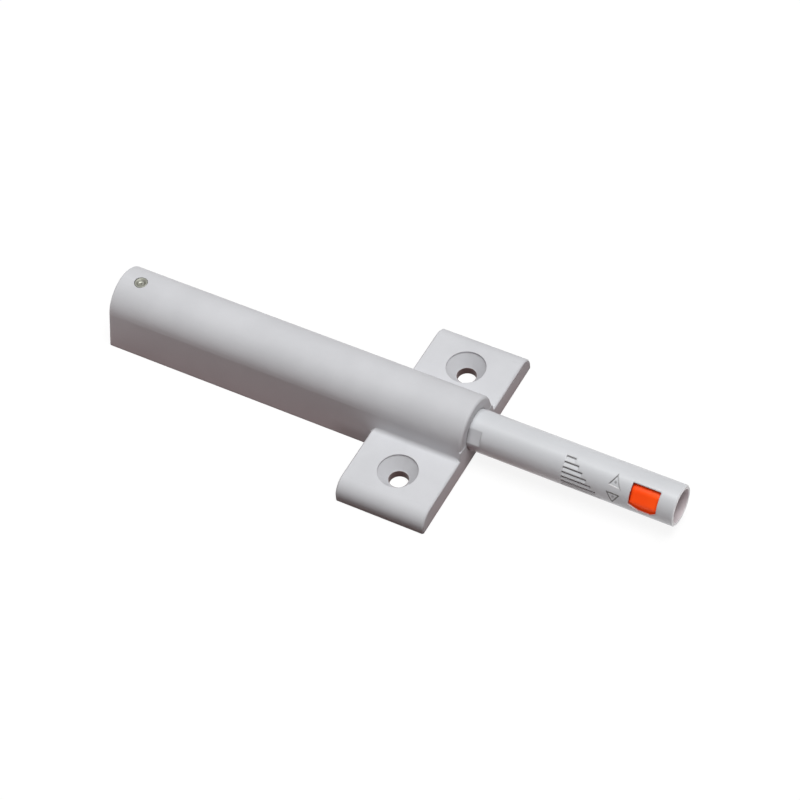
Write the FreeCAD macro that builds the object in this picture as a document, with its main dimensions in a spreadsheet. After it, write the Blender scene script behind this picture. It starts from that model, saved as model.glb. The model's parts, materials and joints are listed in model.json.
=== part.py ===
import FreeCAD
import Part
import Sketcher
import math
import os

# Push to open catch, in millimetres.
# The frame: the origin lies midway between the two screw holes, on the mounting face.
# +X runs along the plunger and out of the mouth, +Y along the screw holes, +Z away from the door frame.

# Driving sizes, each written once
SIZES = {
    # cross plate
    "hole_pitch": 32.0,
    "plate_front": 11.0,
    "plate_length": 21.5,
    "plate_span": 51.3,
    "plate_thickness": 4.85,
    "plate_end_round": 3.8,
    "plate_edge_bevel": 0.3,
    "screw_hole_radius": 2.2,
    "sink_radius": 4.5,
    "sink_rim_depth": 0.4,
    "sink_seat_height": 1.85,
    "sink_seat_width": 0.12,
    # barrel
    "barrel_base_width": 18.2,
    "axis_height": 7.05,
    "crown_radius": 7.4,
    "crown_edge_round": 0.7,
    "barrel_rear_bevel": 0.25,
    "mouth_side_round": 0.3,
    "root_round": 1.0,
    "mouth_step": 0.12,
    "mouth_lip": 3.0,
    "barrel_wall": 1.45,
    # travel and latch track
    "full_travel": 37.0,
    "over_travel": 2.0,
    "tail_stop_gap": 0.3,
    "tail_clearance": 0.15,
    "track_end_wall": 1.3,
    "tail_overhang": 1.5,
    "track_clearance": 0.12,
    "track_depth": 2.15,
    "channel_depth": 1.25,
    "channel_clearance": 0.25,
    "channel_end_gap": 0.5,
    "heart_length": 8.5,
    "heart_horn": 0.3,
    "heart_shoulder": 0.5,
    "heart_tail_shift": 0.25,
    "notch_angle": 42.0,
    "notch_clearance": 0.05,
    "steering_angle": 15.0,
    "steering_tooth": 0.25,
    # follower wire and its pin
    "wire_radius": 0.4,
    "wire_bend_radius": 0.8,
    "wire_head_room": 0.35,
    "finger_floor_gap": 0.15,
    "eye_turn": 300.0,
    "eye_clearance": 0.1,
    "pin_shank_radius": 1.0,
    "pin_head_radius": 1.5,
    "pin_head_drop": 0.1,
    "pin_fit": 0.05,
    "pin_depth": 6.5,
    "pin_cup_radius": 1.1,
    "pin_cup_depth": 1.0,
    "pin_seat_fit": 0.02,
    # rear plug
    "plug_length": 6.7,
    "plug_recess": 0.3,
    "plug_fit": 0.05,
    "plug_gap": 1.8,
    "plug_bevel": 0.5,
    "pin_setback": 2.0,
    "eye_room": 0.3,
    "spigot_length": 4.0,
    # return spring
    "spring_wire_radius": 0.25,
    "spring_radius": 2.45,
    "spring_turns": 12.0,
    "spring_clearance": 0.2,
    "spring_seat_gap": 0.05,
    # plunger
    "plunger_radius": 4.7,
    "mouth_clearance": 0.1,
    "plunger_reach": 48.45,
    "plunger_edge_bevel": 0.25,
    "spring_stop_setback": 2.7,
    "stop_wall": 4.0,
    "core_radius": 2.6,
    "display_angle": 59.5,
    "window_width": 6.5,
    "window_half": 2.95,
    "window_cut_back": 2.3,
    "window_cut_front": 1.4,
    "window_cut_height": 0.95,
    "recess_length": 3.8,
    "recess_end": 3.0,
    "recess_depth": 0.35,
    "ribs_rear": 26.0,
    "ribs_top": 3.3,
    "rib_pitch": 1.1,
    "rib_sink": 0.25,
    "rib_land": 0.15,
    "slit_width": 0.33,
    "slit_depth": 0.2,
    "slit_growth": 0.1,
    "rib_length": 2.25,
    "rib_growth": 1.17,
    # adjuster, tip and the bush in the plunger's end
    "nose_wall": 0.5,
    "nose_bore_fit": 0.05,
    "adjuster_overlap": 0.2,
    "adjuster_gap": 0.3,
    "adjuster_bevel": 0.35,
    "screw_radius": 2.9,
    "screw_clearance": 0.1,
    "screw_length": 11.2,
    "screw_room": 0.8,
    "screw_flat": 2.4,
    "bush_length": 3.25,
    "bush_margin": 0.55,
    "bush_flange": 0.7,
    "bush_wall": 0.35,
    "tip_setback": 0.2,
    "magnet_radius": 2.2,
    "magnet_length": 2.0,
    "magnet_fit": 0.05,
}

# Places worked out from the sizes
PLACES = {
    # cross plate and barrel
    "plate_rear": "Sizes.plate_front - Sizes.plate_length",
    "plate_half": "Sizes.plate_span / 2",
    "plate_flat": "plate_half - Sizes.plate_end_round",
    "plate_end_low": "Sizes.plate_thickness - Sizes.plate_end_round",
    "hole_offset": "Sizes.hole_pitch / 2",
    "sink_rim": "Sizes.plate_thickness - Sizes.sink_rim_depth",
    "seat_radius": "Sizes.screw_hole_radius + Sizes.sink_seat_width",
    "base_half": "Sizes.barrel_base_width / 2",
    "crown_top": "Sizes.axis_height + Sizes.crown_radius",
    "side_lean": "acos(Sizes.crown_radius / hypot(base_half; Sizes.axis_height))"
                 " - atan(Sizes.axis_height / base_half)",
    "shoulder_y": "Sizes.crown_radius * cos(side_lean)",
    "shoulder_z": "Sizes.axis_height + Sizes.crown_radius * sin(side_lean)",
    "cavity_radius": "Sizes.crown_radius - Sizes.barrel_wall",
    "cavity_front": "Sizes.plate_front - Sizes.mouth_lip",
    "mouth_radius": "Sizes.plunger_radius + Sizes.mouth_clearance",
    # the follower's eye and lanes; its arm runs straight from the eye to the near lane
    "eye_radius": "Sizes.pin_shank_radius + Sizes.eye_clearance + Sizes.wire_radius",
    "eye_reach": "eye_radius + Sizes.wire_radius + Sizes.eye_room",
    "lane_offset": "eye_radius",
    "track_reach": "Sizes.wire_radius + Sizes.track_clearance",
    # stations along the axis
    "tail_front": "cavity_front - Sizes.tail_stop_gap",
    "finger_full": "tail_front - Sizes.track_end_wall - Sizes.wire_radius",
    "finger_x": "finger_full - Sizes.full_travel",
    "finger_latched": "finger_full - Sizes.over_travel",
    "tail_rear": "finger_x - Sizes.tail_overhang",
    "plug_front": "tail_rear - Sizes.full_travel - Sizes.plug_gap",
    "plug_rear": "plug_front - Sizes.plug_length",
    "barrel_rear": "plug_rear - Sizes.plug_recess",
    "barrel_length": "Sizes.plate_front - barrel_rear",
    "pin_x": "plug_front - Sizes.pin_setback",
    "eye_seat_rear": "pin_x - eye_reach",
    # heights
    "wire_z": "Sizes.axis_height + cavity_radius - Sizes.wire_head_room - Sizes.wire_radius",
    "eye_floor": "wire_z - Sizes.wire_radius - Sizes.pin_fit",
    "pin_low": "eye_floor - Sizes.pin_depth",
    "pin_head_low": "wire_z + Sizes.wire_radius + Sizes.pin_fit",
    "pin_top": "crown_top - Sizes.pin_head_drop",
    "pin_cup_low": "pin_top - Sizes.pin_cup_depth",
    # tail and latch track
    "tail_radius": "cavity_radius - Sizes.tail_clearance",
    "tail_top": "Sizes.axis_height + tail_radius",
    "track_floor": "tail_top - Sizes.track_depth",
    "channel_floor": "tail_top - Sizes.channel_depth",
    "track_half": "lane_offset + track_reach",
    "channel_half": "lane_offset + Sizes.wire_radius + Sizes.channel_clearance",
    "channel_front": "finger_full + Sizes.wire_radius + Sizes.channel_end_gap",
    "steering_x": "finger_full + track_reach / cos(Sizes.steering_angle)",
    "heart_half": "lane_offset - track_reach",
    "horn_y": "heart_half - Sizes.heart_horn",
    "notch_x": "finger_latched - (Sizes.wire_radius + Sizes.notch_clearance) / sin(Sizes.notch_angle)",
    "horn_x": "notch_x + horn_y / tan(Sizes.notch_angle)",
    "shoulder_x": "horn_x - Sizes.heart_shoulder",
    "heart_rear": "notch_x - Sizes.heart_length",
    "finger_low": "track_floor + Sizes.finger_floor_gap",
    "bend_x": "finger_x - Sizes.wire_bend_radius",
    "bend_z": "wire_z - Sizes.wire_bend_radius",
    # plug and spring
    "plug_radius": "cavity_radius - Sizes.plug_fit",
    "spigot_front": "plug_front + Sizes.spigot_length",
    "spigot_radius": "Sizes.spring_radius - Sizes.spring_wire_radius - Sizes.spring_clearance",
    "spring_bore": "Sizes.spring_radius + Sizes.spring_wire_radius + Sizes.spring_clearance",
    "spring_seat": "tail_front - Sizes.spring_stop_setback",
    "coil_start": "plug_front + Sizes.spring_wire_radius + Sizes.spring_seat_gap",
    "coil_end": "spring_seat - Sizes.spring_wire_radius - Sizes.spring_seat_gap",
    # plunger, from its stop wall to its tip
    "core_rear": "spring_seat + Sizes.stop_wall",
    "plunger_tip": "Sizes.plate_front + Sizes.plunger_reach",
    "nose_bore": "Sizes.plunger_radius - Sizes.nose_wall",
    "bush_rear": "plunger_tip - Sizes.bush_length",
    "window_front": "bush_rear - Sizes.bush_margin",
    "window_rear": "window_front - Sizes.window_width",
    "window_corner": "Sizes.window_cut_height - Sizes.window_half",
    "recess_front": "Sizes.plate_front + Sizes.recess_end",
    "recess_rear": "recess_front - Sizes.recess_length",
    "recess_height": "Sizes.plunger_radius - Sizes.recess_depth",
    "ribs_start": "plunger_tip - Sizes.ribs_rear",
    # adjuster, bush and tip
    "adjuster_radius": "nose_bore - Sizes.nose_bore_fit",
    "adjuster_front": "bush_rear - Sizes.adjuster_gap",
    "adjuster_rear": "window_rear - Sizes.adjuster_overlap",
    "adjuster_shoulder": "adjuster_rear - Sizes.adjuster_gap",
    "screw_bore": "Sizes.screw_radius + Sizes.screw_clearance",
    "bush_opening": "nose_bore - Sizes.bush_wall",
    "flange_front": "bush_rear + Sizes.bush_flange",
    "tip_front": "flange_front - Sizes.tip_setback",
    "screw_rear": "tip_front - Sizes.screw_length",
    "screw_bay_rear": "screw_rear - Sizes.screw_room",
    "key_half": "Sizes.screw_flat + Sizes.screw_clearance",
    "key_angle": "acos(key_half / screw_bore)",
    "key_edge": "screw_bore * sin(key_angle)",
    "magnet_bore": "Sizes.magnet_radius + Sizes.magnet_fit",
    "magnet_seat": "tip_front - Sizes.magnet_length",
}

FULL_TURN = 360.0
HALF_TURN = FULL_TURN / 2
RIGHT_ANGLE = FULL_TURN / 4
ADJUSTER_SIDES = 8
RIBS = 7
# Both wires are drawn with this many sides
WIRE_SIDES = 6
# How far a cut runs past the surface that it opens
PAST = "1"
# The largest distance between places that count as the same
NEAR = 1e-4

doc = FreeCAD.newDocument("push_to_open_catch")


def make_sheet(name, entries, formula):
    """A sheet with one named cell for each entry."""
    sheet = doc.addObject("Spreadsheet::Sheet", name)
    for row, (alias, content) in enumerate(entries.items(), 1):
        sheet.set(f"A{row}", alias)
        sheet.set(f"B{row}", f"={content}" if formula else str(content))
        sheet.setAlias(f"B{row}", alias)
    return sheet


make_sheet("Sizes", SIZES, False)
places = make_sheet("Places", PLACES, True)
doc.recompute()


def value(text):
    """The number that an expression gives."""
    return float(places.evalExpression(text))


def point(x, y):
    return FreeCAD.Vector(value(x), value(y), 0)


def make_body(name):
    body = doc.addObject("PartDesign::Body", name)
    body.Label = name
    return body


def origin_plane(body, role):
    return [item for item in body.Origin.OriginFeatures if item.Role == role][0]


def make_sketch(body, name, role, place=None, tilt=None):
    """A sketch on an origin plane, shifted by the expressions in place and tilted about the plane's x."""
    sketch = body.newObject("Sketcher::SketchObject", name)
    sketch.AttachmentSupport = [(origin_plane(body, role), "")]
    sketch.MapMode = "FlatFace"
    if tilt:
        start = FreeCAD.Rotation(FreeCAD.Vector(1, 0, 0), RIGHT_ANGLE)
        sketch.AttachmentOffset = FreeCAD.Placement(FreeCAD.Vector(), start)
        sketch.setExpression("AttachmentOffset.Rotation.Angle", tilt)
    for direction, text in (place or {}).items():
        sketch.setExpression(f"AttachmentOffset.Base.{direction}", text)
    return sketch


def pin_point(sketch, geometry, end, x, y):
    """Hold one point of a sketch at the expressions x and y."""
    for kind, text in (("DistanceX", x), ("DistanceY", y)):
        number = sketch.addConstraint(Sketcher.Constraint(kind, geometry, end, value(text)))
        sketch.setExpression(f"Constraints[{number}]", text)


def hold_radius(sketch, geometry, radius):
    number = sketch.addConstraint(Sketcher.Constraint("Radius", geometry, value(radius)))
    sketch.setExpression(f"Constraints[{number}]", radius)


def add_line(sketch, start, end):
    return sketch.addGeometry(Part.LineSegment(point(*start), point(*end)), False)


def add_arc(sketch, centre, radius, start, end):
    """An arc of a given radius about centre, between two angles. Its ends are held by its neighbours."""
    circle = Part.Circle(point(*centre), FreeCAD.Vector(0, 0, 1), value(radius))
    arc = Part.ArcOfCircle(circle, math.radians(value(start)), math.radians(value(end)))
    number = sketch.addGeometry(arc, False)
    hold_radius(sketch, number, radius)
    return number


def add_circle(sketch, x, y, radius):
    circle = Part.Circle(point(x, y), FreeCAD.Vector(0, 0, 1), value(radius))
    number = sketch.addGeometry(circle, False)
    pin_point(sketch, number, 3, x, y)
    hold_radius(sketch, number, radius)


def add_outline(sketch, corners):
    """A closed outline of straight edges between corners given as pairs of expressions."""
    lines = [add_line(sketch, corner, corners[(i + 1) % len(corners)])
             for i, corner in enumerate(corners)]
    for i, corner in enumerate(corners):
        join(sketch, (lines[i], 2, lines[(i + 1) % len(corners)], 1))
        pin_point(sketch, lines[i], 1, *corner)


def add_box(sketch, x_low, x_high, y_low, y_high):
    """A rectangle with its sides at four expressions."""
    add_outline(sketch, [(x_low, y_low), (x_high, y_low), (x_high, y_high), (x_low, y_high)])


def add_polygon(sketch, x, y, radius, sides, turn="0"):
    """A regular polygon about x, y, its first corner at an angle of turn."""
    angles = [f"({turn} + {FULL_TURN / sides * side})" for side in range(sides)]
    add_outline(sketch, [(f"{x} + {radius} * cos({angle})", f"{y} + {radius} * sin({angle})")
                         for angle in angles])


def join(sketch, *ends):
    """Join pairs of ends, given as geometry, end, geometry, end."""
    for pair in ends:
        sketch.addConstraint(Sketcher.Constraint("Coincident", *pair))


def add_feature(body, kind, name, profile, **settings):
    """A feature made from a sketch. Settings given as text are expressions, the rest plain values."""
    feature = body.newObject(f"PartDesign::{kind}", name)
    feature.Profile = profile
    for key, setting in settings.items():
        if isinstance(setting, str):
            feature.setExpression(key, setting)
        else:
            setattr(feature, key, setting)
    profile.Visibility = False
    return feature


def turn_profile(body, kind, name, sketch, axis="H_Axis"):
    """A revolved solid or cut, a full turn about one of the sketch's axes."""
    return add_feature(body, kind, name, sketch, ReferenceAxis=(sketch, [axis]), Angle=FULL_TURN)


def edges_where(feature, test):
    """Names of the feature's edges whose box passes the test."""
    doc.recompute()
    return [f"Edge{i}" for i, edge in enumerate(feature.Shape.Edges, 1) if test(edge.BoundBox)]


def dress(body, kind, name, base, edges, size):
    """A fillet or chamfer of the named size on edges of base."""
    feature = body.newObject(f"PartDesign::{kind}", name)
    feature.Base = (base, edges)
    feature.setExpression("Radius" if kind == "Fillet" else "Size", size)
    doc.recompute()
    return feature


def lies_at(box, axis, place):
    """Whether an edge's box lies wholly at one place along an axis."""
    low, high = getattr(box, f"{axis}Min"), getattr(box, f"{axis}Max")
    return abs(low - place) < NEAR and abs(high - place) < NEAR


# Housing: D-shaped barrel with a cross plate, one moulding

housing = make_body("housing")

plate_section = make_sketch(housing, "plate_section", "YZ_Plane", {"z": "Sizes.plate_front"})
near_corner, far_corner = ("Places.plate_half", "0"), ("-Places.plate_half", "0")
near_low = ("Places.plate_half", "Places.plate_end_low")
far_low = ("-Places.plate_half", "Places.plate_end_low")
near_high = ("Places.plate_flat", "Sizes.plate_thickness")
far_high = ("-Places.plate_flat", "Sizes.plate_thickness")
plate_sole = add_line(plate_section, far_corner, near_corner)
near_end = add_line(plate_section, near_corner, near_low)
near_round = add_arc(plate_section, ("Places.plate_flat", "Places.plate_end_low"),
                     "Sizes.plate_end_round", "0", "90")
plate_top = add_line(plate_section, near_high, far_high)
far_round = add_arc(plate_section, ("-Places.plate_flat", "Places.plate_end_low"),
                    "Sizes.plate_end_round", "90", "180")
far_end = add_line(plate_section, far_low, far_corner)
join(plate_section, (plate_sole, 2, near_end, 1), (near_end, 2, near_round, 1),
     (near_round, 2, plate_top, 1), (plate_top, 2, far_round, 1), (far_round, 2, far_end, 1),
     (far_end, 2, plate_sole, 1))
for line, end, corner in ((plate_sole, 1, far_corner), (plate_sole, 2, near_corner),
                          (near_end, 2, near_low), (plate_top, 1, near_high),
                          (plate_top, 2, far_high), (far_end, 1, far_low)):
    pin_point(plate_section, line, end, *corner)
plate = add_feature(housing, "Pad", "plate", plate_section, Length="Sizes.plate_length", Reversed=True)
plate_ends = [value("Sizes.plate_front"), value("Places.plate_rear")]
rim_edges = edges_where(plate, lambda box: box.ZMax > NEAR
                        and any(lies_at(box, "X", end) for end in plate_ends))
dress(housing, "Chamfer", "plate_bevel", plate, rim_edges, "Sizes.plate_edge_bevel")

barrel_section = make_sketch(housing, "barrel_section", "YZ_Plane", {"z": "Sizes.plate_front"})
near_foot, near_shoulder = ("Places.base_half", "0"), ("Places.shoulder_y", "Places.shoulder_z")
far_foot, far_shoulder = ("-Places.base_half", "0"), ("-Places.shoulder_y", "Places.shoulder_z")
far_side = add_line(barrel_section, far_foot, far_shoulder)
crown = add_arc(barrel_section, ("0", "Sizes.axis_height"), "Sizes.crown_radius",
                "Places.side_lean", "180 deg - Places.side_lean")
near_side = add_line(barrel_section, near_shoulder, near_foot)
sole = add_line(barrel_section, near_foot, far_foot)
join(barrel_section, (far_side, 2, crown, 2), (crown, 1, near_side, 1),
     (near_side, 2, sole, 1), (sole, 2, far_side, 1))
pin_point(barrel_section, far_side, 1, *far_foot)
pin_point(barrel_section, far_side, 2, *far_shoulder)
pin_point(barrel_section, near_side, 1, *near_shoulder)
pin_point(barrel_section, near_side, 2, *near_foot)
add_feature(housing, "Pad", "barrel", barrel_section, Length="Places.barrel_length", Reversed=True)

# The crown's face stands a step behind the face below the plunger's axis
step_outline = make_sketch(housing, "mouth_step_outline", "YZ_Plane", {"z": "Sizes.plate_front"})
add_box(step_outline, "-Places.base_half", "Places.base_half",
        "Sizes.axis_height", f"Places.crown_top + {PAST}")
crown_face = add_feature(housing, "Pocket", "crown_face", step_outline, Length="Sizes.mouth_step")

crown_front, plate_front = value("Sizes.plate_front - Sizes.mouth_step"), value("Sizes.plate_front")
barrel_rear, axis_z = value("Places.barrel_rear"), value("Sizes.axis_height")


def rounds_crown(box):
    """Whether an edge runs round the crown's face, apart from the ledge below it."""
    slanted = min(box.YLength, box.ZLength) > NEAR
    return lies_at(box, "X", crown_front) and box.ZMax > axis_z + NEAR and slanted


def beside_mouth(box):
    """Whether an edge runs down a side of the face below the crown's."""
    steep = NEAR < box.YLength < box.ZLength
    return lies_at(box, "X", plate_front) and abs(box.ZMax - axis_z) < NEAR and steep


crown_rounds = dress(housing, "Fillet", "crown_rounds", crown_face,
                     edges_where(crown_face, rounds_crown), "Sizes.crown_edge_round")
rear_edges = edges_where(crown_rounds, lambda box: box.ZMax > NEAR and lies_at(box, "X", barrel_rear))
rear_bevel = dress(housing, "Chamfer", "rear_bevel", crown_rounds, rear_edges, "Sizes.barrel_rear_bevel")

top_z, rear_x = value("Sizes.plate_thickness"), value("Places.plate_rear")
foot_y = value("Places.base_half")


def meets_barrel(box):
    """Whether an edge lies where the plate's top or rear face runs into the barrel."""
    beside = max(abs(box.YMin), abs(box.YMax)) < foot_y + NEAR
    on_top = lies_at(box, "Z", top_z) and box.YLength < NEAR
    behind = lies_at(box, "X", rear_x) and box.ZMin < NEAR and NEAR < box.ZMax
    return beside and (on_top or behind)


root_rounds = dress(housing, "Fillet", "root_rounds", rear_bevel,
                    edges_where(rear_bevel, meets_barrel), "Sizes.root_round")
dress(housing, "Fillet", "mouth_rounds", root_rounds,
      edges_where(root_rounds, beside_mouth), "Sizes.mouth_side_round")

bore_outline = make_sketch(housing, "bore_outline", "XZ_Plane", {"y": "Sizes.axis_height"})
add_outline(bore_outline, [(f"Places.barrel_rear - {PAST}", "0"),
                           (f"Places.barrel_rear - {PAST}", "Places.cavity_radius"),
                           ("Places.cavity_front", "Places.cavity_radius"),
                           ("Places.cavity_front", "Places.mouth_radius"),
                           (f"Sizes.plate_front + {PAST}", "Places.mouth_radius"),
                           (f"Sizes.plate_front + {PAST}", "0")])
turn_profile(housing, "Groove", "bore", bore_outline)

hole_outline = make_sketch(housing, "screw_hole_outline", "YZ_Plane", {"x": "Places.hole_offset"})
add_outline(hole_outline, [("0", f"-{PAST}"),
                           ("Sizes.screw_hole_radius", f"-{PAST}"),
                           ("Sizes.screw_hole_radius", "Sizes.sink_seat_height"),
                           ("Places.seat_radius", "Sizes.sink_seat_height"),
                           ("Sizes.sink_radius", "Places.sink_rim"),
                           ("Sizes.sink_radius", f"Sizes.plate_thickness + {PAST}"),
                           ("0", f"Sizes.plate_thickness + {PAST}")])
screw_hole = turn_profile(housing, "Groove", "screw_hole", hole_outline, "V_Axis")
doc.recompute()
screw_holes = housing.newObject("PartDesign::Mirrored", "screw_holes")
screw_holes.Originals = [screw_hole]
screw_holes.MirrorPlane = (origin_plane(housing, "XZ_Plane"), [""])
housing.Tip = screw_holes
doc.recompute()

pin_hole_outline = make_sketch(housing, "pin_hole_outline", "XY_Plane", {"z": "Sizes.axis_height"})
add_circle(pin_hole_outline, "Places.pin_x", "0", "Sizes.pin_head_radius + Sizes.pin_fit")
housing.Tip = add_feature(housing, "Pocket", "pin_hole", pin_hole_outline,
                          Length=f"Sizes.crown_radius + {PAST}", Reversed=True)

# Rear plug: closes the barrel, carries the spring's spigot and holds the pin

rear_plug = make_body("rear_plug")
plug_outline = make_sketch(rear_plug, "plug_outline", "XZ_Plane", {"y": "Sizes.axis_height"})
add_outline(plug_outline, [("Places.plug_rear", "0"),
                           ("Places.plug_rear", "Places.plug_radius - Sizes.plug_bevel"),
                           ("Places.plug_rear + Sizes.plug_bevel", "Places.plug_radius"),
                           ("Places.plug_front", "Places.plug_radius"),
                           ("Places.plug_front", "Places.spigot_radius"),
                           ("Places.spigot_front", "Places.spigot_radius"),
                           ("Places.spigot_front", "0")])
turn_profile(rear_plug, "Revolution", "plug_form", plug_outline)
eye_seat_outline = make_sketch(rear_plug, "eye_seat_outline", "XY_Plane", {"z": "Places.eye_floor"})
add_box(eye_seat_outline, "Places.eye_seat_rear", f"Places.plug_front + {PAST}",
        "-Places.cavity_radius", "Places.cavity_radius")
add_feature(rear_plug, "Pocket", "eye_seat", eye_seat_outline,
            Length="Places.cavity_radius", Reversed=True)
pin_seat_outline = make_sketch(rear_plug, "pin_seat_outline", "XY_Plane", {"z": "Places.eye_floor"})
add_circle(pin_seat_outline, "Places.pin_x", "0", "Sizes.pin_shank_radius + Sizes.pin_seat_fit")
add_feature(rear_plug, "Pocket", "pin_seat", pin_seat_outline, Length="Sizes.pin_depth")

# Anchor pin: headed pin through the crown, the wire's eye and the plug, with a drilled cup in its head

anchor_pin = make_body("anchor_pin")
pin_outline = make_sketch(anchor_pin, "pin_outline", "XZ_Plane", {"x": "Places.pin_x"})
add_outline(pin_outline, [("0", "Places.pin_low"),
                          ("Sizes.pin_shank_radius", "Places.pin_low"),
                          ("Sizes.pin_shank_radius", "Places.pin_head_low"),
                          ("Sizes.pin_head_radius", "Places.pin_head_low"),
                          ("Sizes.pin_head_radius", "Places.pin_top"),
                          ("Sizes.pin_cup_radius", "Places.pin_top"),
                          ("0", "Places.pin_cup_low")])
turn_profile(anchor_pin, "Revolution", "pin_form", pin_outline, "V_Axis")

# Plunger: sliding tube with its thicker tail, latch track, window and recess, one moulding

plunger = make_body("plunger")
tube_outline = make_sketch(plunger, "tube_outline", "XZ_Plane", {"y": "Sizes.axis_height"})
add_outline(tube_outline, [("Places.tail_rear", "Places.spring_bore"),
                           ("Places.tail_rear", "Places.tail_radius"),
                           ("Places.tail_front", "Places.tail_radius"),
                           ("Places.tail_front", "Sizes.plunger_radius"),
                           ("Places.plunger_tip - Sizes.plunger_edge_bevel", "Sizes.plunger_radius"),
                           ("Places.plunger_tip", "Sizes.plunger_radius - Sizes.plunger_edge_bevel"),
                           ("Places.plunger_tip", "Places.nose_bore"),
                           ("Places.adjuster_shoulder", "Places.nose_bore"),
                           ("Places.adjuster_shoulder", "Places.screw_bore"),
                           ("Places.screw_bay_rear", "Places.screw_bore"),
                           ("Places.screw_bay_rear", "Sizes.core_radius"),
                           ("Places.core_rear", "Sizes.core_radius"),
                           ("Places.core_rear", "0"),
                           ("Places.spring_seat", "0"),
                           ("Places.spring_seat", "Places.spring_bore")])
turn_profile(plunger, "Revolution", "tube", tube_outline)

# A shallow channel clears the wire's arm
channel_outline = make_sketch(plunger, "channel_outline", "XY_Plane", {"z": "Places.channel_floor"})
add_box(channel_outline, f"Places.tail_rear - {PAST}", "Places.channel_front",
        "-Places.channel_half", "Places.channel_half")
add_feature(plunger, "Pocket", "arm_channel", channel_outline, Length="Sizes.track_depth", Reversed=True)

# The latch track: two lanes round a heart, whose notch holds the finger, and a sawtooth wall that steers it
track_outline = make_sketch(plunger, "track_outline", "XY_Plane", {"z": "Places.track_floor"})


def steering(lane, y):
    """Where the slanted wall in front of a lane stands at y."""
    return f"Places.steering_x + ({lane} - ({y})) * tan(Sizes.steering_angle)"


near_lane, far_lane = "Places.lane_offset", "-Places.lane_offset"
tooth_y = "-Sizes.steering_tooth"
add_outline(track_outline, [(f"Places.tail_rear - {PAST}", "-Places.track_half"),
                            (steering(far_lane, "-Places.track_half"), "-Places.track_half"),
                            (steering(far_lane, tooth_y), tooth_y),
                            (steering(near_lane, tooth_y), tooth_y),
                            (steering(near_lane, "Places.track_half"), "Places.track_half"),
                            (f"Places.tail_rear - {PAST}", "Places.track_half")])
add_outline(track_outline, [("Places.notch_x", "0"),
                            ("Places.horn_x", "Places.horn_y"),
                            ("Places.shoulder_x", "Places.heart_half"),
                            ("Places.heart_rear", "-Sizes.heart_tail_shift"),
                            ("Places.shoulder_x", "-Places.heart_half"),
                            ("Places.horn_x", "-Places.horn_y")])
add_feature(plunger, "Pocket", "latch_track", track_outline, Length="Sizes.track_depth", Reversed=True)

# Window over the adjuster and the flat recess by the mouth, both turned to the display side
window_outline = make_sketch(plunger, "window_outline", "XY_Plane", {"z": "Sizes.axis_height"},
                             "Sizes.display_angle")
add_outline(window_outline, [("Places.window_rear", "Sizes.window_half"),
                             ("Places.window_front", "Sizes.window_half"),
                             ("Places.window_front", "Places.window_corner"),
                             ("Places.window_front - Sizes.window_cut_front", "-Sizes.window_half"),
                             ("Places.window_rear + Sizes.window_cut_back", "-Sizes.window_half"),
                             ("Places.window_rear", "Places.window_corner")])
add_feature(plunger, "Pocket", "window", window_outline,
            Length=f"Sizes.plunger_radius + {PAST}", Reversed=True)

recess_outline = make_sketch(plunger, "recess_outline", "XY_Plane",
                             {"y": "-Places.recess_height * sin(Sizes.display_angle)",
                              "z": "Sizes.axis_height + Places.recess_height * cos(Sizes.display_angle)"},
                             "Sizes.display_angle")
add_box(recess_outline, "Places.recess_rear", "Places.recess_front",
        "-Sizes.plunger_radius", "Sizes.plunger_radius")
add_feature(plunger, "Pocket", "recess", recess_outline,
            Length=f"Sizes.recess_depth + {PAST}", Reversed=True)

# Grip ribs, each longer than the one above: a slit at its upper side, deeper from rib to rib,
# and below the slit a slope back out to the skin

def on_display(out, across):
    """A place in a section of the plunger: out is where the display side faces, across is up it."""
    turn_sine, turn_cosine = "sin(Sizes.display_angle)", "cos(Sizes.display_angle)"
    return (f"({across}) * {turn_cosine} - ({out}) * {turn_sine}",
            f"Sizes.axis_height + ({out}) * {turn_cosine} + ({across}) * {turn_sine}")


def skin(across):
    """How far out the plunger's skin lies at a place across the display side."""
    return f"sqrt(Sizes.plunger_radius ^ 2 - ({across}) ^ 2)"


clear = f"Sizes.plunger_radius + {PAST}"
for rib in range(RIBS):
    upper = f"Sizes.ribs_top - {rib} * Sizes.rib_pitch"
    slope_top = f"{upper} - Sizes.slit_width"
    lower = f"{upper} - Sizes.rib_pitch + Sizes.rib_land"
    slit_floor = f"{skin(upper)} - Sizes.slit_depth - {rib} * Sizes.slit_growth"
    rib_outline = make_sketch(plunger, f"rib_{rib}_outline", "YZ_Plane", {"z": "Places.ribs_start"})
    add_outline(rib_outline, [on_display(clear, upper), on_display(slit_floor, upper),
                              on_display(slit_floor, slope_top),
                              on_display(f"{skin(slope_top)} - Sizes.rib_sink", slope_top),
                              on_display(skin(lower), lower), on_display(clear, lower)])
    add_feature(plunger, "Pocket", f"rib_{rib}", rib_outline, Reversed=True,
                Length=f"Sizes.rib_length + {rib} * Sizes.rib_growth")

# Adjuster: turning sleeve with flat sides and a screw bore, behind the window

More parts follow.
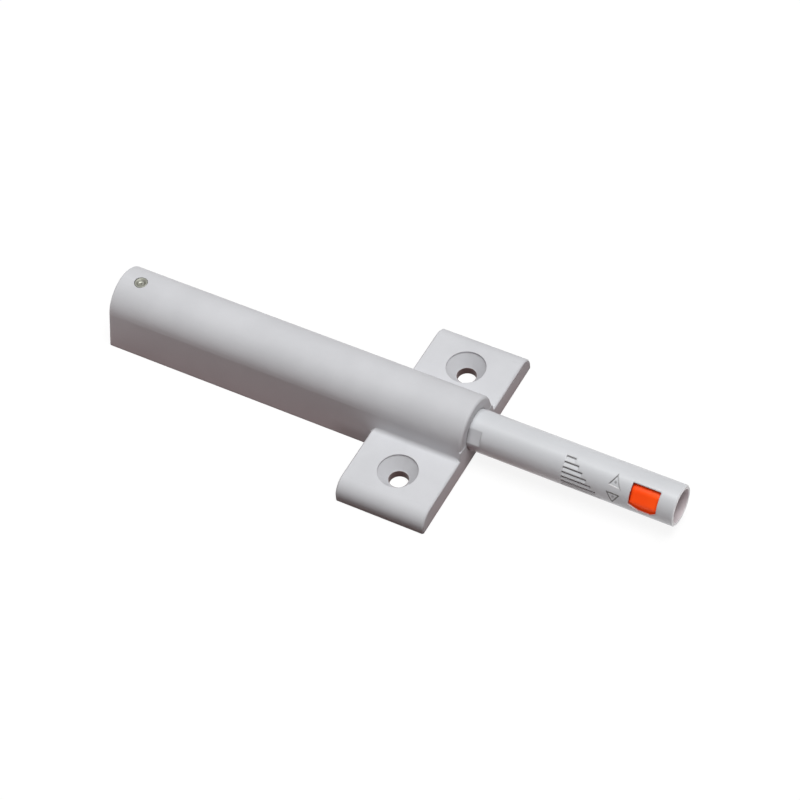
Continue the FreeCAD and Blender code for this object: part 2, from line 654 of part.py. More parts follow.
adjuster = make_body("adjuster")
sleeve_outline = make_sketch(adjuster, "sleeve_outline", "YZ_Plane",
                             {"y": "Sizes.axis_height", "z": "Places.adjuster_rear"})
half_side = HALF_TURN / ADJUSTER_SIDES
add_polygon(sleeve_outline, "0", "0", "Places.adjuster_radius", ADJUSTER_SIDES,
            f"Sizes.display_angle + {RIGHT_ANGLE + half_side}")
add_circle(sleeve_outline, "0", "0", "Places.screw_bore")
sleeve = add_feature(adjuster, "Pad", "sleeve", sleeve_outline,
                     Length="Places.adjuster_front - Places.adjuster_rear")
sleeve_ends = [value("Places.adjuster_rear"), value("Places.adjuster_front")]
outer_edges = edges_where(sleeve, lambda box: any(lies_at(box, "X", end) for end in sleeve_ends)
                          and box.DiagonalLength < value("Places.adjuster_radius"))
dress(adjuster, "Chamfer", "sleeve_bevel", sleeve, outer_edges, "Sizes.adjuster_bevel")

# Nose bush: pressed into the tube's end, keeps the adjuster in and keys the tip holder with two flats

nose_bush = make_body("nose_bush")
flange_outline = make_sketch(nose_bush, "flange_outline", "YZ_Plane",
                             {"y": "Sizes.axis_height", "z": "Places.bush_rear"})
near_key_low = ("Places.key_half", "-Places.key_edge")
near_key_high = ("Places.key_half", "Places.key_edge")
far_key_low = ("-Places.key_half", "-Places.key_edge")
far_key_high = ("-Places.key_half", "Places.key_edge")
near_key = add_line(flange_outline, near_key_low, near_key_high)
high_arc = add_arc(flange_outline, ("0", "0"), "Places.screw_bore",
                   "Places.key_angle", "180 deg - Places.key_angle")
far_key = add_line(flange_outline, far_key_high, far_key_low)
low_arc = add_arc(flange_outline, ("0", "0"), "Places.screw_bore",
                  "180 deg + Places.key_angle", "360 deg - Places.key_angle")
join(flange_outline, (near_key, 2, high_arc, 1), (high_arc, 2, far_key, 1),
     (far_key, 2, low_arc, 1), (low_arc, 2, near_key, 1))
for line, start, end in ((near_key, near_key_low, near_key_high),
                         (far_key, far_key_high, far_key_low)):
    pin_point(flange_outline, line, 1, *start)
    pin_point(flange_outline, line, 2, *end)
add_circle(flange_outline, "0", "0", "Places.nose_bore")
add_feature(nose_bush, "Pad", "flange", flange_outline, Length="Sizes.bush_flange")
collar_outline = make_sketch(nose_bush, "collar_outline", "YZ_Plane",
                             {"y": "Sizes.axis_height", "z": "Places.flange_front"})
add_circle(collar_outline, "0", "0", "Places.nose_bore")
add_circle(collar_outline, "0", "0", "Places.bush_opening")
add_feature(nose_bush, "Pad", "collar", collar_outline, Length="Sizes.bush_length - Sizes.bush_flange")

# Tip holder: screw with two flats that the adjuster drives in and out, cupped in front for the magnet

tip_holder = make_body("tip_holder")
holder_outline = make_sketch(tip_holder, "holder_outline", "XZ_Plane", {"y": "Sizes.axis_height"})
add_outline(holder_outline, [("Places.screw_rear", "0"),
                             ("Places.screw_rear", "Sizes.screw_radius"),
                             ("Places.tip_front", "Sizes.screw_radius"),
                             ("Places.tip_front", "Places.magnet_bore"),
                             ("Places.magnet_seat", "Places.magnet_bore"),
                             ("Places.magnet_seat", "0")])
turn_profile(tip_holder, "Revolution", "screw_form", holder_outline)
flats_outline = make_sketch(tip_holder, "flats_outline", "YZ_Plane",
                            {"y": "Sizes.axis_height", "z": "Places.tip_front"})
add_box(flats_outline, "Sizes.screw_flat", f"Sizes.screw_radius + {PAST}",
        "-Sizes.screw_radius", "Sizes.screw_radius")
add_box(flats_outline, f"-Sizes.screw_radius - {PAST}", "-Sizes.screw_flat",
        "-Sizes.screw_radius", "Sizes.screw_radius")
add_feature(tip_holder, "Pocket", "flats", flats_outline, Length="Sizes.screw_length")

# Tip magnet: disc in the holder's cup

tip_magnet = make_body("tip_magnet")
magnet_outline = make_sketch(tip_magnet, "magnet_outline", "YZ_Plane",
                             {"y": "Sizes.axis_height", "z": "Places.tip_front"})
add_circle(magnet_outline, "0", "0", "Sizes.magnet_radius")
add_feature(tip_magnet, "Pad", "disc", magnet_outline, Length="Sizes.magnet_length", Reversed=True)

# Return spring: coil between the plug and the plunger's stop wall

return_spring = make_body("return_spring")
coil_section = make_sketch(return_spring, "coil_section", "XZ_Plane", {"y": "Sizes.axis_height"})
add_polygon(coil_section, "Places.coil_start", "Sizes.spring_radius",
            "Sizes.spring_wire_radius", WIRE_SIDES)
coil = add_feature(return_spring, "AdditiveHelix", "coil", coil_section,
                   ReferenceAxis=(coil_section, ["H_Axis"]),
                   Height="Places.coil_end - Places.coil_start", Turns="Sizes.spring_turns")
coil.Mode = "height-turns-angle"

# Follower wire: eye round the pin, arm over the tail, and a finger bent down into the latch track

follower_wire = make_body("follower_wire")
wire_section = make_sketch(follower_wire, "wire_section", "YZ_Plane", {"z": "Places.bend_x"})
add_polygon(wire_section, "Places.eye_radius", "Places.wire_z", "Sizes.wire_radius", WIRE_SIDES)

arm_path = make_sketch(follower_wire, "arm_path", "XY_Plane", {"z": "Places.wire_z"})
arm = add_line(arm_path, ("Places.bend_x", "Places.eye_radius"), ("Places.pin_x", "Places.eye_radius"))
eye = add_arc(arm_path, ("Places.pin_x", "0"), "Places.eye_radius", "90", "90 + Sizes.eye_turn")
join(arm_path, (arm, 2, eye, 1))
pin_point(arm_path, arm, 1, "Places.bend_x", "Places.eye_radius")
pin_point(arm_path, arm, 2, "Places.pin_x", "Places.eye_radius")
pin_point(arm_path, eye, 2, "Places.pin_x + Places.eye_radius * cos(90 + Sizes.eye_turn)",
          "Places.eye_radius * sin(90 + Sizes.eye_turn)")
add_feature(follower_wire, "AdditivePipe", "eye_and_arm", wire_section, Spine=(arm_path, []))

finger_path = make_sketch(follower_wire, "finger_path", "XZ_Plane", {"z": "-Places.eye_radius"})
bend = add_arc(finger_path, ("Places.bend_x", "Places.bend_z"), "Sizes.wire_bend_radius", "0", "90")
finger = add_line(finger_path, ("Places.finger_x", "Places.bend_z"),
                  ("Places.finger_x", "Places.finger_low"))
join(finger_path, (bend, 1, finger, 1))
pin_point(finger_path, bend, 2, "Places.bend_x", "Places.wire_z")
pin_point(finger_path, finger, 1, "Places.finger_x", "Places.bend_z")
pin_point(finger_path, finger, 2, "Places.finger_x", "Places.finger_low")
add_feature(follower_wire, "AdditivePipe", "finger", wire_section, Spine=(finger_path, []))

# Check every piece, then write one file for each

BODIES = [housing, rear_plug, anchor_pin, return_spring, follower_wire, plunger, nose_bush, adjuster,
          tip_holder, tip_magnet]

doc.recompute()
for item in doc.Objects:
    if "Invalid" in item.State or "Error" in item.State:
        raise RuntimeError(f"{item.Name} did not recompute: {item.State}")
for body in BODIES:
    if body.Shape.isNull() or not body.Shape.isValid() or len(body.Shape.Solids) != 1:
        raise RuntimeError(f"{body.Label} is not one valid solid")

os.makedirs("parts", exist_ok=True)
for body in BODIES:
    body.Shape.exportStep(os.path.join("parts", f"{body.Label}.step"))
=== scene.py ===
"""Looks of the push to open catch: its finishes, the round wires, the hollow in the pin's head, the
marks moulded on the plunger, the tip's thread, and the studio round it. Lengths are in metres, in the
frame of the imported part."""

import json

import bpy
import numpy as np
from mathutils import Matrix, Vector


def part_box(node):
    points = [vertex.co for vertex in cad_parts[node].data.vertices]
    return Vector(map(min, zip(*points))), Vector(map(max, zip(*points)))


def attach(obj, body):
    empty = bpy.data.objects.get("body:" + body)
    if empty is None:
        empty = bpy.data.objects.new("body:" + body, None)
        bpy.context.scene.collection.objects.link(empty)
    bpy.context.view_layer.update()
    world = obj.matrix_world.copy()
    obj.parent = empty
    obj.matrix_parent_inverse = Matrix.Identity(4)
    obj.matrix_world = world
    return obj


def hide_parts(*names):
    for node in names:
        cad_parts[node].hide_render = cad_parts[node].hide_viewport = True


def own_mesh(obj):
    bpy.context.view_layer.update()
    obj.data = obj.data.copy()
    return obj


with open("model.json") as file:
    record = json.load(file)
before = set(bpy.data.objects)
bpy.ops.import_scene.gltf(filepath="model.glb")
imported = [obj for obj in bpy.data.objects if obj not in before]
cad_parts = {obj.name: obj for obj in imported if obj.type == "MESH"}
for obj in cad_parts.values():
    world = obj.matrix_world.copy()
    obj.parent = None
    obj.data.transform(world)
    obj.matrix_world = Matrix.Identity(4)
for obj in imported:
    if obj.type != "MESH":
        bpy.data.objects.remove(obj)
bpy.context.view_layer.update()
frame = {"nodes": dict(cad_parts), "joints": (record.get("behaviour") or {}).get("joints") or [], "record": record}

MM = 0.001

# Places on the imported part: the axis and tip of the plunger, the rear end, the pin and the screw bores
joints = {joint["name"]: joint for joint in frame["joints"]}
mounts = {mount["name"]: mount for mount in frame["record"]["mounts"]}
swing_place = joints["follower_swing"]["pos_m"]
screw_holes = mounts["screw_holes"]["dims"]
AXIS_Z = joints["adjuster_turn"]["pos_m"][2]
TIP_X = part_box("plunger")[1][0]
REAR_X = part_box("housing")[0][0]
PIN_X, ARM_Z = swing_place[0], swing_place[2]
PIN_FACE_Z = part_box("anchor_pin")[1][2]
BORE_OFFSET, BORE_RADIUS = screw_holes["spacing_y_mm"] / 2 * MM, screw_holes["hole_r_mm"] * MM
SINK_RADIUS = 4.5 * MM
PLUNGER_RADIUS = 4.7 * MM
DISPLAY_ANGLE = np.radians(59.5)
# the way that the marks on the plunger face, and the way across them, as (y, z)
OUTWARD = np.array([-np.sin(DISPLAY_ANGLE), np.cos(DISPLAY_ANGLE)])
ACROSS = np.array([np.cos(DISPLAY_ANGLE), np.sin(DISPLAY_ANGLE)])
# the lower edge of the window keeps less painted shade: heights between which the adjuster's painted shade sets in
SHADE_FADE_LOW, SHADE_FADE_HIGH = 6.5 * MM, 8.5 * MM
# the open tip: where its front ring begins and ends, and the deepest place that shows inside
RING_START, RING_FULL, TIP_DEEP = TIP_X - 0.15 * MM, TIP_X - 0.03 * MM, TIP_X - 1.95 * MM
# rear face of the cross plate, and how far shade gathers behind it and up the barrel's wall
PLATE_REAR = -10.5 * MM
SHADE_NEAR, SHADE_FAR, SHADE_LOW, SHADE_HIGH = 6 * MM, 12 * MM, 1 * MM, 4 * MM


# Surfaces
def grid_faces(rows, columns, closed_rows=False):
    """Faces between neighbours of a grid whose columns close on themselves, and its rows too if asked."""
    row, column = np.meshgrid(np.arange(rows - (not closed_rows)), np.arange(columns), indexing="ij")
    down, after = (row + 1) % rows, (column + 1) % columns
    quad = [row * columns + column, row * columns + after, down * columns + after, down * columns + column]
    return np.stack(quad, -1).reshape(-1, 4)


def facing_out(points, quads, fans):
    """A skin of four-sided and three-sided faces, turned over where the volume inside comes out below 0."""
    centred = points - points.mean(0)
    corner = centred[np.vstack([quads[:, :3], fans])]
    volume = np.einsum("ij,ij->", corner[:, 0], np.cross(corner[:, 1], corner[:, 2]))
    return (points, quads, fans) if volume > 0 else (points, quads[:, ::-1], fans[:, ::-1])


def tube(rings):
    """A closed skin over rows of rings, with a fan of faces from the middle of each end ring."""
    rows, columns = rings.shape[:2]
    points = np.vstack([rings.reshape(-1, 3), rings[0].mean(0)[None], rings[-1].mean(0)[None]])
    column = np.arange(columns)
    after = (column + 1) % columns
    last = (rows - 1) * columns
    low = np.stack([np.full(columns, rows * columns), after, column], -1)
    high = np.stack([np.full(columns, rows * columns + 1), last + column, last + after], -1)
    return facing_out(points, grid_faces(rows, columns), np.vstack([low, high]))


def hoop(rings):
    """A closed skin over rings whose last row runs back into the first."""
    rows, columns = rings.shape[:2]
    return facing_out(rings.reshape(-1, 3), grid_faces(rows, columns, True), np.empty((0, 3), int))


def add_piece(name, skins, body, material):
    """One smooth piece made of closed skins, on its body and slot."""
    start, faces = 0, []
    for points, quads, fans in skins:
        faces += (start + quads).tolist() + (start + fans).tolist()
        start += len(points)
    mesh = bpy.data.meshes.new(name)
    mesh.from_pydata(np.vstack([skin[0] for skin in skins]), [], faces)
    mesh.polygons.foreach_set("use_smooth", np.ones(len(faces), bool))
    mesh.update()
    piece = bpy.data.objects.new(name, mesh)
    bpy.context.scene.collection.objects.link(piece)
    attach(piece, body)
    mesh.materials.append(material)
    return piece


# Shader building
# places of a Mix node's sockets: the share, the two colours, and the colour between them
MIX_SHARE, MIX_FIRST, MIX_SECOND, MIX_RESULT = 0, 6, 7, 2


class Tree:
    """A node tree with a short way to add a node and to feed its sockets."""

    def __init__(self, tree):
        self.tree = tree
        tree.nodes.clear()

    def add(self, kind, feeds=None, **settings):
        """A new node, with what feeds its sockets, by their names, and its own settings."""
        node = self.tree.nodes.new(kind)
        for key, value in settings.items():
            setattr(node, key, value)
        for socket, value in (feeds or {}).items():
            self.feed(node.inputs[socket], value)
        return node

    def feed(self, socket, value):
        """Link another node's output to a socket, or set a constant on it."""
        if isinstance(value, bpy.types.NodeSocket):
            self.tree.links.new(value, socket)
        else:
            socket.default_value = value

    def math(self, operation, *values):
        """What a Math node makes of one or two values."""
        node = self.add("ShaderNodeMath", operation=operation)
        for socket, value in zip(node.inputs, values):
            self.feed(socket, value)
        return node.outputs[0]

    def mix(self, share, first, second):
        """The colour that lies the given share of the way from the first to the second."""
        node = self.add("ShaderNodeMix", data_type="RGBA")
        self.feed(node.inputs[MIX_SHARE], share)
        self.feed(node.inputs[MIX_FIRST], first)
        self.feed(node.inputs[MIX_SECOND], second)
        return node.outputs[MIX_RESULT]

    def ramp(self, value, low, high, to_low=0.0, to_high=1.0):
        """Smooth step of a value between low and high, from to_low to to_high."""
        node = self.add("ShaderNodeMapRange", interpolation_type="SMOOTHSTEP")
        for socket, number in zip(node.inputs, (value, low, high, to_low, to_high)):
            self.feed(socket, number)
        return node.outputs[0]

    def group(self, group, **feeds):
        """The outputs of a node group placed in this tree, with its inputs fed by their names."""
        node = self.add("ShaderNodeGroup", node_tree=group)
        for name, value in feeds.items():
            self.feed(node.inputs[name.title()], value)
        return node.outputs


def make_group(name, inputs, outputs):
    """A node group with named number inputs and their first values, and named outputs."""
    group = bpy.data.node_groups.new(name, "ShaderNodeTree")
    for socket, value in inputs.items():
        made = group.interface.new_socket(name=socket, in_out="INPUT", socket_type="NodeSocketFloat")
        made.default_value = value
    for socket, kind in outputs.items():
        group.interface.new_socket(name=socket, in_out="OUTPUT", socket_type=kind)
    tree = Tree(group)
    entry = tree.add("NodeGroupInput").outputs
    leave = tree.add("NodeGroupOutput").inputs
    return group, tree, entry, leave


NUMBER = "NodeSocketFloat"
VECTOR = "NodeSocketVector"

# scales of the noises, and the low swell beside the grain: its share of the scale and of the height
GRAIN_SCALE, CLOUD_SCALE, SWELL_SCALE, SWELL_HEIGHT = 5200.0, 110.0, 0.22, 0.8
# noise values between which the slow shade and the fine speckle set in
SHADE_NOISE = (0.3, 0.7)
SPECKLE_NOISE = (0.62, 0.75)
# an edge sets in below the first cosine between true and rounded normal, and is full at the second
EDGE_COSINES = (0.995, 0.75)
# a crevice sets in below the first share of open surroundings, and is full at the second
OPEN_SHARES = (0.85, 0.3)
# edges of the masks of the bore's wall and of the countersink, as shares of their radius
BORE_MARGIN = (1.06, 1.01)
SINK_MARGIN = (1.02, 0.98)
# over this length the painted shadow sets in at the plate's rear face
CORNER_MARGIN = 0.5 * MM


def moulded_grain():
    """Fine spark-eroded grain of a moulding: two sizes of noise for the height, a slow one for the shade."""
    group, tree, entry, leave = make_group("moulded grain", {"Grain": GRAIN_SCALE, "Cloud": CLOUD_SCALE},
                                           {"Height": NUMBER, "Shade": NUMBER, "Speckle": NUMBER})
    place = tree.add("ShaderNodeTexCoord").outputs["Object"]
    fine = tree.add("ShaderNodeTexNoise", {"Vector": place, "Scale": entry["Grain"], "Detail": 3.0,
                                           "Roughness": 0.6}).outputs["Fac"]
    cloud = tree.add("ShaderNodeTexNoise", {"Vector": place, "Scale": entry["Cloud"], "Detail": 4.0,
                                            "Roughness": 0.55}).outputs["Fac"]
    wide = tree.math("MULTIPLY", entry["Grain"], SWELL_SCALE)
    swell = tree.add("ShaderNodeTexNoise", {"Vector": place, "Scale": wide, "Detail": 2.0}).outputs["Fac"]
    tree.feed(leave["Height"], tree.math("ADD", fine, tree.math("MULTIPLY", swell, SWELL_HEIGHT)))
    tree.feed(leave["Shade"], tree.ramp(cloud, *SHADE_NOISE))
    tree.feed(leave["Speckle"], tree.ramp(fine, *SPECKLE_NOISE))
    return group


def softened_edge():
    """Where the surface turns sharply: a mask from the angle between the surface and the one that a
    small radius would give, and that rounded normal."""
    group, tree, entry, leave = make_group(
        "softened edge", {"Radius": 0.2 * MM}, {"Edge": NUMBER, "Rounded": VECTOR})
    bevel = tree.add("ShaderNodeBevel", {"Radius": entry["Radius"]}, samples=6)
    plain = tree.add("ShaderNodeNewGeometry").outputs["Normal"]
    dot = tree.add("ShaderNodeVectorMath", operation="DOT_PRODUCT")
    tree.feed(dot.inputs[0], bevel.outputs[0])
    tree.feed(dot.inputs[1], plain)
    tree.feed(leave["Edge"], tree.ramp(dot.outputs["Value"], *EDGE_COSINES))
    tree.feed(leave["Rounded"], bevel.outputs[0])
    return group


def crevice_shade():
    """Painted shade in corners: a mask from how much of the near surroundings is closed off."""
    group, tree, entry, leave = make_group("crevice dust", {"Reach": 2 * MM}, {"Dust": NUMBER})
    hidden = tree.add("ShaderNodeAmbientOcclusion", {"Distance": entry["Reach"]}, samples=8)
    tree.feed(leave["Dust"], tree.ramp(hidden.outputs["AO"], *OPEN_SHARES))
    return group


def screw_bore():
    """Two masks for painted shade, from the distance to the axis of a screw bore: 1 on the bore's wall, and
    1 inside the rim of its countersink."""
    group, tree, entry, leave = make_group(
        "screw bore", {"Offset": BORE_OFFSET, "Radius": BORE_RADIUS, "Rim": SINK_RADIUS},
        {"Inside": NUMBER, "Sink": NUMBER})
    place = tree.add("ShaderNodeTexCoord").outputs["Object"]
    apart = tree.add("ShaderNodeSeparateXYZ", {"Vector": place}).outputs
    across = tree.math("SUBTRACT", tree.math("ABSOLUTE", apart["Y"]), entry["Offset"])
    square = tree.math("MULTIPLY", apart["X"], apart["X"])
    away = tree.math("SQRT", tree.math("ADD", tree.math("MULTIPLY", across, across), square))
    tree.feed(leave["Inside"], tree.ramp(tree.math("DIVIDE", away, entry["Radius"]), *BORE_MARGIN))
    tree.feed(leave["Sink"], tree.ramp(tree.math("DIVIDE", away, entry["Rim"]), *SINK_MARGIN))
    return group


def plate_corner():
    """A painted shadow low in the corner behind the cross plate: 1 from its rear face to Near behind it, none from
    Far on, and thinning out up the barrel's wall."""
    group, tree, entry, leave = make_group(
        "plate corner", {"Near": SHADE_NEAR, "Far": SHADE_FAR}, {"Corner": NUMBER})
    place = tree.add("ShaderNodeTexCoord").outputs["Object"]
    apart = tree.add("ShaderNodeSeparateXYZ", {"Vector": place}).outputs
    behind = tree.math("SUBTRACT", PLATE_REAR, apart["X"])
    along = tree.math("MULTIPLY", tree.ramp(behind, entry["Far"], entry["Near"]),
                      tree.ramp(behind, -CORNER_MARGIN, 0.0))
    tree.feed(leave["Corner"], tree.math("MULTIPLY", along, tree.ramp(apart["Z"], SHADE_HIGH, SHADE_LOW)))
    return group


def open_tip():
    """Two masks along X at the tube's open end: Ring, for a painted highlight, is 1 on its front face, and
    Depth, for painted shade, grows from 0 at the front to 1 at the deepest place that shows."""
    group, tree, entry, leave = make_group(
        "open tip", {"Start": RING_START, "Full": RING_FULL, "Deep": TIP_DEEP},
        {"Ring": NUMBER, "Depth": NUMBER})
    place = tree.add("ShaderNodeTexCoord").outputs["Object"]
    along = tree.add("ShaderNodeSeparateXYZ", {"Vector": place}).outputs["X"]
    tree.feed(leave["Ring"], tree.ramp(along, entry["Start"], entry["Full"]))
    tree.feed(leave["Depth"], tree.ramp(along, entry["Start"], entry["Deep"]))
    return group


GRAIN, EDGE, CREVICE, BORE = moulded_grain(), softened_edge(), crevice_shade(), screw_bore()
CORNER, TIP = plate_corner(), open_tip()


def linear(red, green, blue):
    """A colour as it looks on screen, 0 to 255, as the shader's linear numbers: the sRGB curve undone."""
    shown = np.array([red, green, blue], float) / 255
    level = np.where(shown <= 0.04045, shown / 12.92, ((shown + 0.055) / 1.055) ** 2.4)
    return (*level.tolist(), 1.0)


def new_material(name):
    """A new material with a Principled BSDF as its surface, with its tree and that shader."""
    made = bpy.data.materials.new(name)
    made.use_nodes = True
    tree = Tree(made.node_tree)
    shader = tree.add("ShaderNodeBsdfPrincipled")
    tree.feed(tree.add("ShaderNodeOutputMaterial").inputs["Surface"], shader.outputs[0])
    return made, tree, shader


# height of the moulded grain, how strongly it shows, and how much rougher its speckles are
GRAIN_DEPTH, GRAIN_STRENGTH, SPECKLE_ROUGH = 0.01 * MM, 0.35, 0.1
COAT_ROUGH = 0.15
# shares of the painted shade in a countersink and of the painted shadow behind the plate, and how far painted
# shade dims the painted glow
SINK_SHARE, CORNER_SHARE, GLOW_SHADE_SHARE = 0.09, 0.32, 0.8
# share of the painted shade that is left at the window's lower edge
SHADE_FADE_SHARE = 0.25


def plastic(name, body, cloud, edge, shade_colour, rough=0.42, grain=GRAIN_SCALE, radius=0.22 * MM, painted_edge_share=0.35,
            shade_share=0.4, reach=1.6 * MM, gloss=0.5, coat=0.0, bores=None, ring=None, depth_shade_share=0.0,
            glow=None, glow_level=0.0):
    """A moulded plastic: clouded colour, paler edges as a painted highlight, painted shade in the corners and a
    fine grain. The housing has painted shade in its screw bores and countersinks and a painted shadow behind its
    plate, the open tip a pale front ring as a painted highlight and painted shade inside. A bright dye glows a
    little, painted light that no lamp gives, and has less painted shade low down."""
    made, tree, shader = new_material(name)
    skin = tree.group(GRAIN, grain=grain, cloud=CLOUD_SCALE)
    rim = tree.group(EDGE, radius=radius)
    corner = tree.group(CREVICE, reach=reach)
    colour = tree.mix(skin["Shade"], linear(*body), linear(*cloud))
    # paler edges where the surface turns sharply: a painted highlight
    colour = tree.mix(tree.math("MULTIPLY", rim["Edge"], painted_edge_share), colour, linear(*edge))
    # painted shade in the corners, from how closed off the surroundings are
    shade_mask = corner["Dust"]
    if glow:
        place = tree.add("ShaderNodeTexCoord").outputs["Object"]
        height = tree.add("ShaderNodeSeparateXYZ", {"Vector": place}).outputs["Z"]
        # less painted shade low down, at the window's lower edge
        shade_mask = tree.math("MULTIPLY", shade_mask, tree.ramp(height, SHADE_FADE_LOW, SHADE_FADE_HIGH, SHADE_FADE_SHARE, 1.0))
    colour = tree.mix(tree.math("MULTIPLY", shade_mask, shade_share), colour, linear(*shade_colour))
    if bores:
        # painted shade in the countersinks and on the bores' walls
        hole = tree.group(BORE)
        colour = tree.mix(tree.math("MULTIPLY", hole["Sink"], SINK_SHARE), colour, linear(*shade_colour))
        colour = tree.mix(hole["Inside"], colour, linear(*bores))
        # a painted shadow low on the barrel's wall behind the plate
        behind = tree.group(CORNER)
        colour = tree.mix(tree.math("MULTIPLY", behind["Corner"], CORNER_SHARE), colour, linear(*shade_colour))
    # the open tip: painted shade growing inside, and a painted highlight on its front ring
    if ring:
        tip = tree.group(TIP)
        colour = tree.mix(tree.math("MULTIPLY", tip["Depth"], depth_shade_share), colour, linear(*shade_colour))
        colour = tree.mix(tip["Ring"], colour, linear(*ring))
    tree.feed(shader.inputs["Base Color"], colour)
    tree.feed(shader.inputs["Roughness"], tree.ramp(skin["Speckle"], 0.0, 1.0, rough, rough + SPECKLE_ROUGH))
    bump = tree.add("ShaderNodeBump", {"Strength": GRAIN_STRENGTH, "Distance": GRAIN_DEPTH,
                                       "Height": skin["Height"], "Normal": rim["Rounded"]})
    tree.feed(shader.inputs["Normal"], bump.outputs[0])
    shader.inputs["Specular IOR Level"].default_value = gloss
    shader.inputs["Coat Weight"].default_value = coat
    shader.inputs["Coat Roughness"].default_value = COAT_ROUGH
    # the glow: painted light that no lamp gives, dimmed by the painted shade in its corners
    if glow:
        lit = tree.mix(tree.math("MULTIPLY", shade_mask, GLOW_SHADE_SHARE), linear(*glow), linear(*shade_colour))
        tree.feed(shader.inputs["Emission Color"], lit)
        shader.inputs["Emission Strength"].default_value = glow_level
    return made


def mark_plastic(name, body, dark, light, rough=0.4):
    """The plunger's plastic in a moulded mark: painted shade where its tone is below 0 and a painted highlight
    where it is above, for the light and shade on the sides of a sunk line.
    """
    made, tree, shader = new_material(name)
    skin = tree.group(GRAIN, grain=GRAIN_SCALE, cloud=CLOUD_SCALE)
    tone = tree.add("ShaderNodeAttribute", attribute_type="GEOMETRY", attribute_name="tone").outputs["Fac"]
    colour = tree.mix(tree.ramp(tone, 0.0, -1.0), linear(*body), linear(*dark))
    colour = tree.mix(tree.ramp(tone, 0.0, 1.0), colour, linear(*light))
    tree.feed(shader.inputs["Base Color"], colour)
    tree.feed(shader.inputs["Roughness"], tree.ramp(skin["Speckle"], 0.0, 1.0, rough, rough + SPECKLE_ROUGH))
    bump = tree.add("ShaderNodeBump", {"Strength": GRAIN_STRENGTH, "Distance": GRAIN_DEPTH,
                                       "Height": skin["Height"]})
    tree.feed(shader.inputs["Normal"], bump.outputs[0])
    return made


# drawing marks: how they are stretched, their scale and height, how strongly they show, and how much
# rougher they are over the noise values that follow
DRAWN_SCALE, SCRATCH_SCALE, SCRATCH_DEPTH, SCRATCH_STRENGTH = (0.08, 1.0, 1.0), 9000.0, 0.004 * MM, 0.3
SCRATCH_ROUGH, SCRATCH_NOISE = 0.15, (0.3, 0.7)
# the colour of the painted shade on metal, and the reach of its corner mask
METAL_SHADE, METAL_REACH = (60, 58, 54), 0.8 * MM


def metal(name, colour, deep, rough, shade_share=0.5, radius=0.08 * MM, painted_edge_share=0.0):
    """A plain metal: drawing marks stretched along X, with painted shade in the corners and, if asked, on its
    edges.
    """
    made, tree, shader = new_material(name)
    place = tree.add("ShaderNodeTexCoord").outputs["Object"]
    drawn = tree.add("ShaderNodeMapping", {"Vector": place, "Scale": DRAWN_SCALE}).outputs[0]
    marks = tree.add("ShaderNodeTexNoise",
                     {"Vector": drawn, "Scale": SCRATCH_SCALE, "Detail": 3.0}).outputs["Fac"]
    rim = tree.group(EDGE, radius=radius)
    corner = tree.group(CREVICE, reach=METAL_REACH)
    tone = tree.mix(marks, linear(*colour), linear(*deep))
    # painted shade in the corners and, where asked, on the edges
    shaded = tree.math("MAXIMUM", tree.math("MULTIPLY", corner["Dust"], shade_share),
                     tree.math("MULTIPLY", rim["Edge"], painted_edge_share))
    tone = tree.mix(shaded, tone, linear(*METAL_SHADE))
    tree.feed(shader.inputs["Base Color"], tone)
    shader.inputs["Metallic"].default_value = 1.0
    tree.feed(shader.inputs["Roughness"], tree.ramp(marks, *SCRATCH_NOISE, rough, rough + SCRATCH_ROUGH))
    bump = tree.add("ShaderNodeBump", {"Strength": SCRATCH_STRENGTH, "Distance": SCRATCH_DEPTH,
                                       "Height": marks, "Normal": rim["Rounded"]})
    tree.feed(shader.inputs["Normal"], bump.outputs[0])
    return made


# each plastic's colours: body, cloud, a paler painted highlight for its edges, and the colour of its painted shade
housing_grey = plastic("housing grey", (209, 210, 214), (214, 215, 219), (222, 223, 226), (104, 96, 92),
                       gloss=0.1, bores=(122, 104, 102))
plunger_grey = plastic("plunger grey", (208, 210, 214), (212, 214, 218), (246, 247, 249), (104, 100, 98),
                       rough=0.36, coat=0.3, radius=0.4 * MM, painted_edge_share=0.7, ring=(248, 249, 251))
bush_grey = plastic("bush grey", (226, 216, 219), (230, 220, 223), (240, 236, 238), (110, 96, 99),
                    shade_share=0.15, radius=0.4 * MM, ring=(248, 246, 248), depth_shade_share=0.4)
plug_grey = plastic("plug grey", (196, 197, 200), (203, 204, 207), (214, 214, 217), (110, 104, 100))
# the orange: its glow painted light, its paler edge colour a painted highlight, its dark red painted shade
orange = plastic("adjuster orange", (250, 72, 14), (255, 84, 20), (255, 92, 34), (140, 16, 6), rough=0.38,
                 grain=4200.0, radius=1.4 * MM, shade_share=0.8, reach=1 * MM, gloss=0.2, glow=(250, 80, 12),
                 glow_level=0.31)
holder_grey = plastic("holder grey", (186, 180, 182), (196, 190, 192), (215, 212, 212), (90, 84, 84))
# the marks' plastic, with the colours of its painted shade and its painted highlight
mark_grey = mark_plastic("mark grey", (196, 198, 202), (96, 94, 93), (244, 244, 246))
magnet_metal = metal("magnet metal", (176, 176, 178), (150, 150, 152), 0.3)
pin_metal = metal("pin metal", (150, 150, 141), (118, 118, 110), 0.4, shade_share=0.4, radius=0.3 * MM,
                  painted_edge_share=0.85)
bowl_metal = metal("bowl metal", (158, 158, 149), (130, 130, 122), 0.42, shade_share=0.45)
spring_metal = metal("spring metal", (190, 190, 192), (150, 150, 154), 0.25)

FINISHES = {
    "housing": housing_grey, "rear_plug": plug_grey, "anchor_pin": pin_metal, "plunger": plunger_grey,
    "nose_bush": bush_grey, "adjuster": orange, "tip_holder": holder_grey, "tip_magnet": magnet_metal,
    "return_spring": spring_metal, "follower_wire": spring_metal,
}
for node, material in FINISHES.items():
    for slot in frame["nodes"][node].material_slots:
        slot.material = material

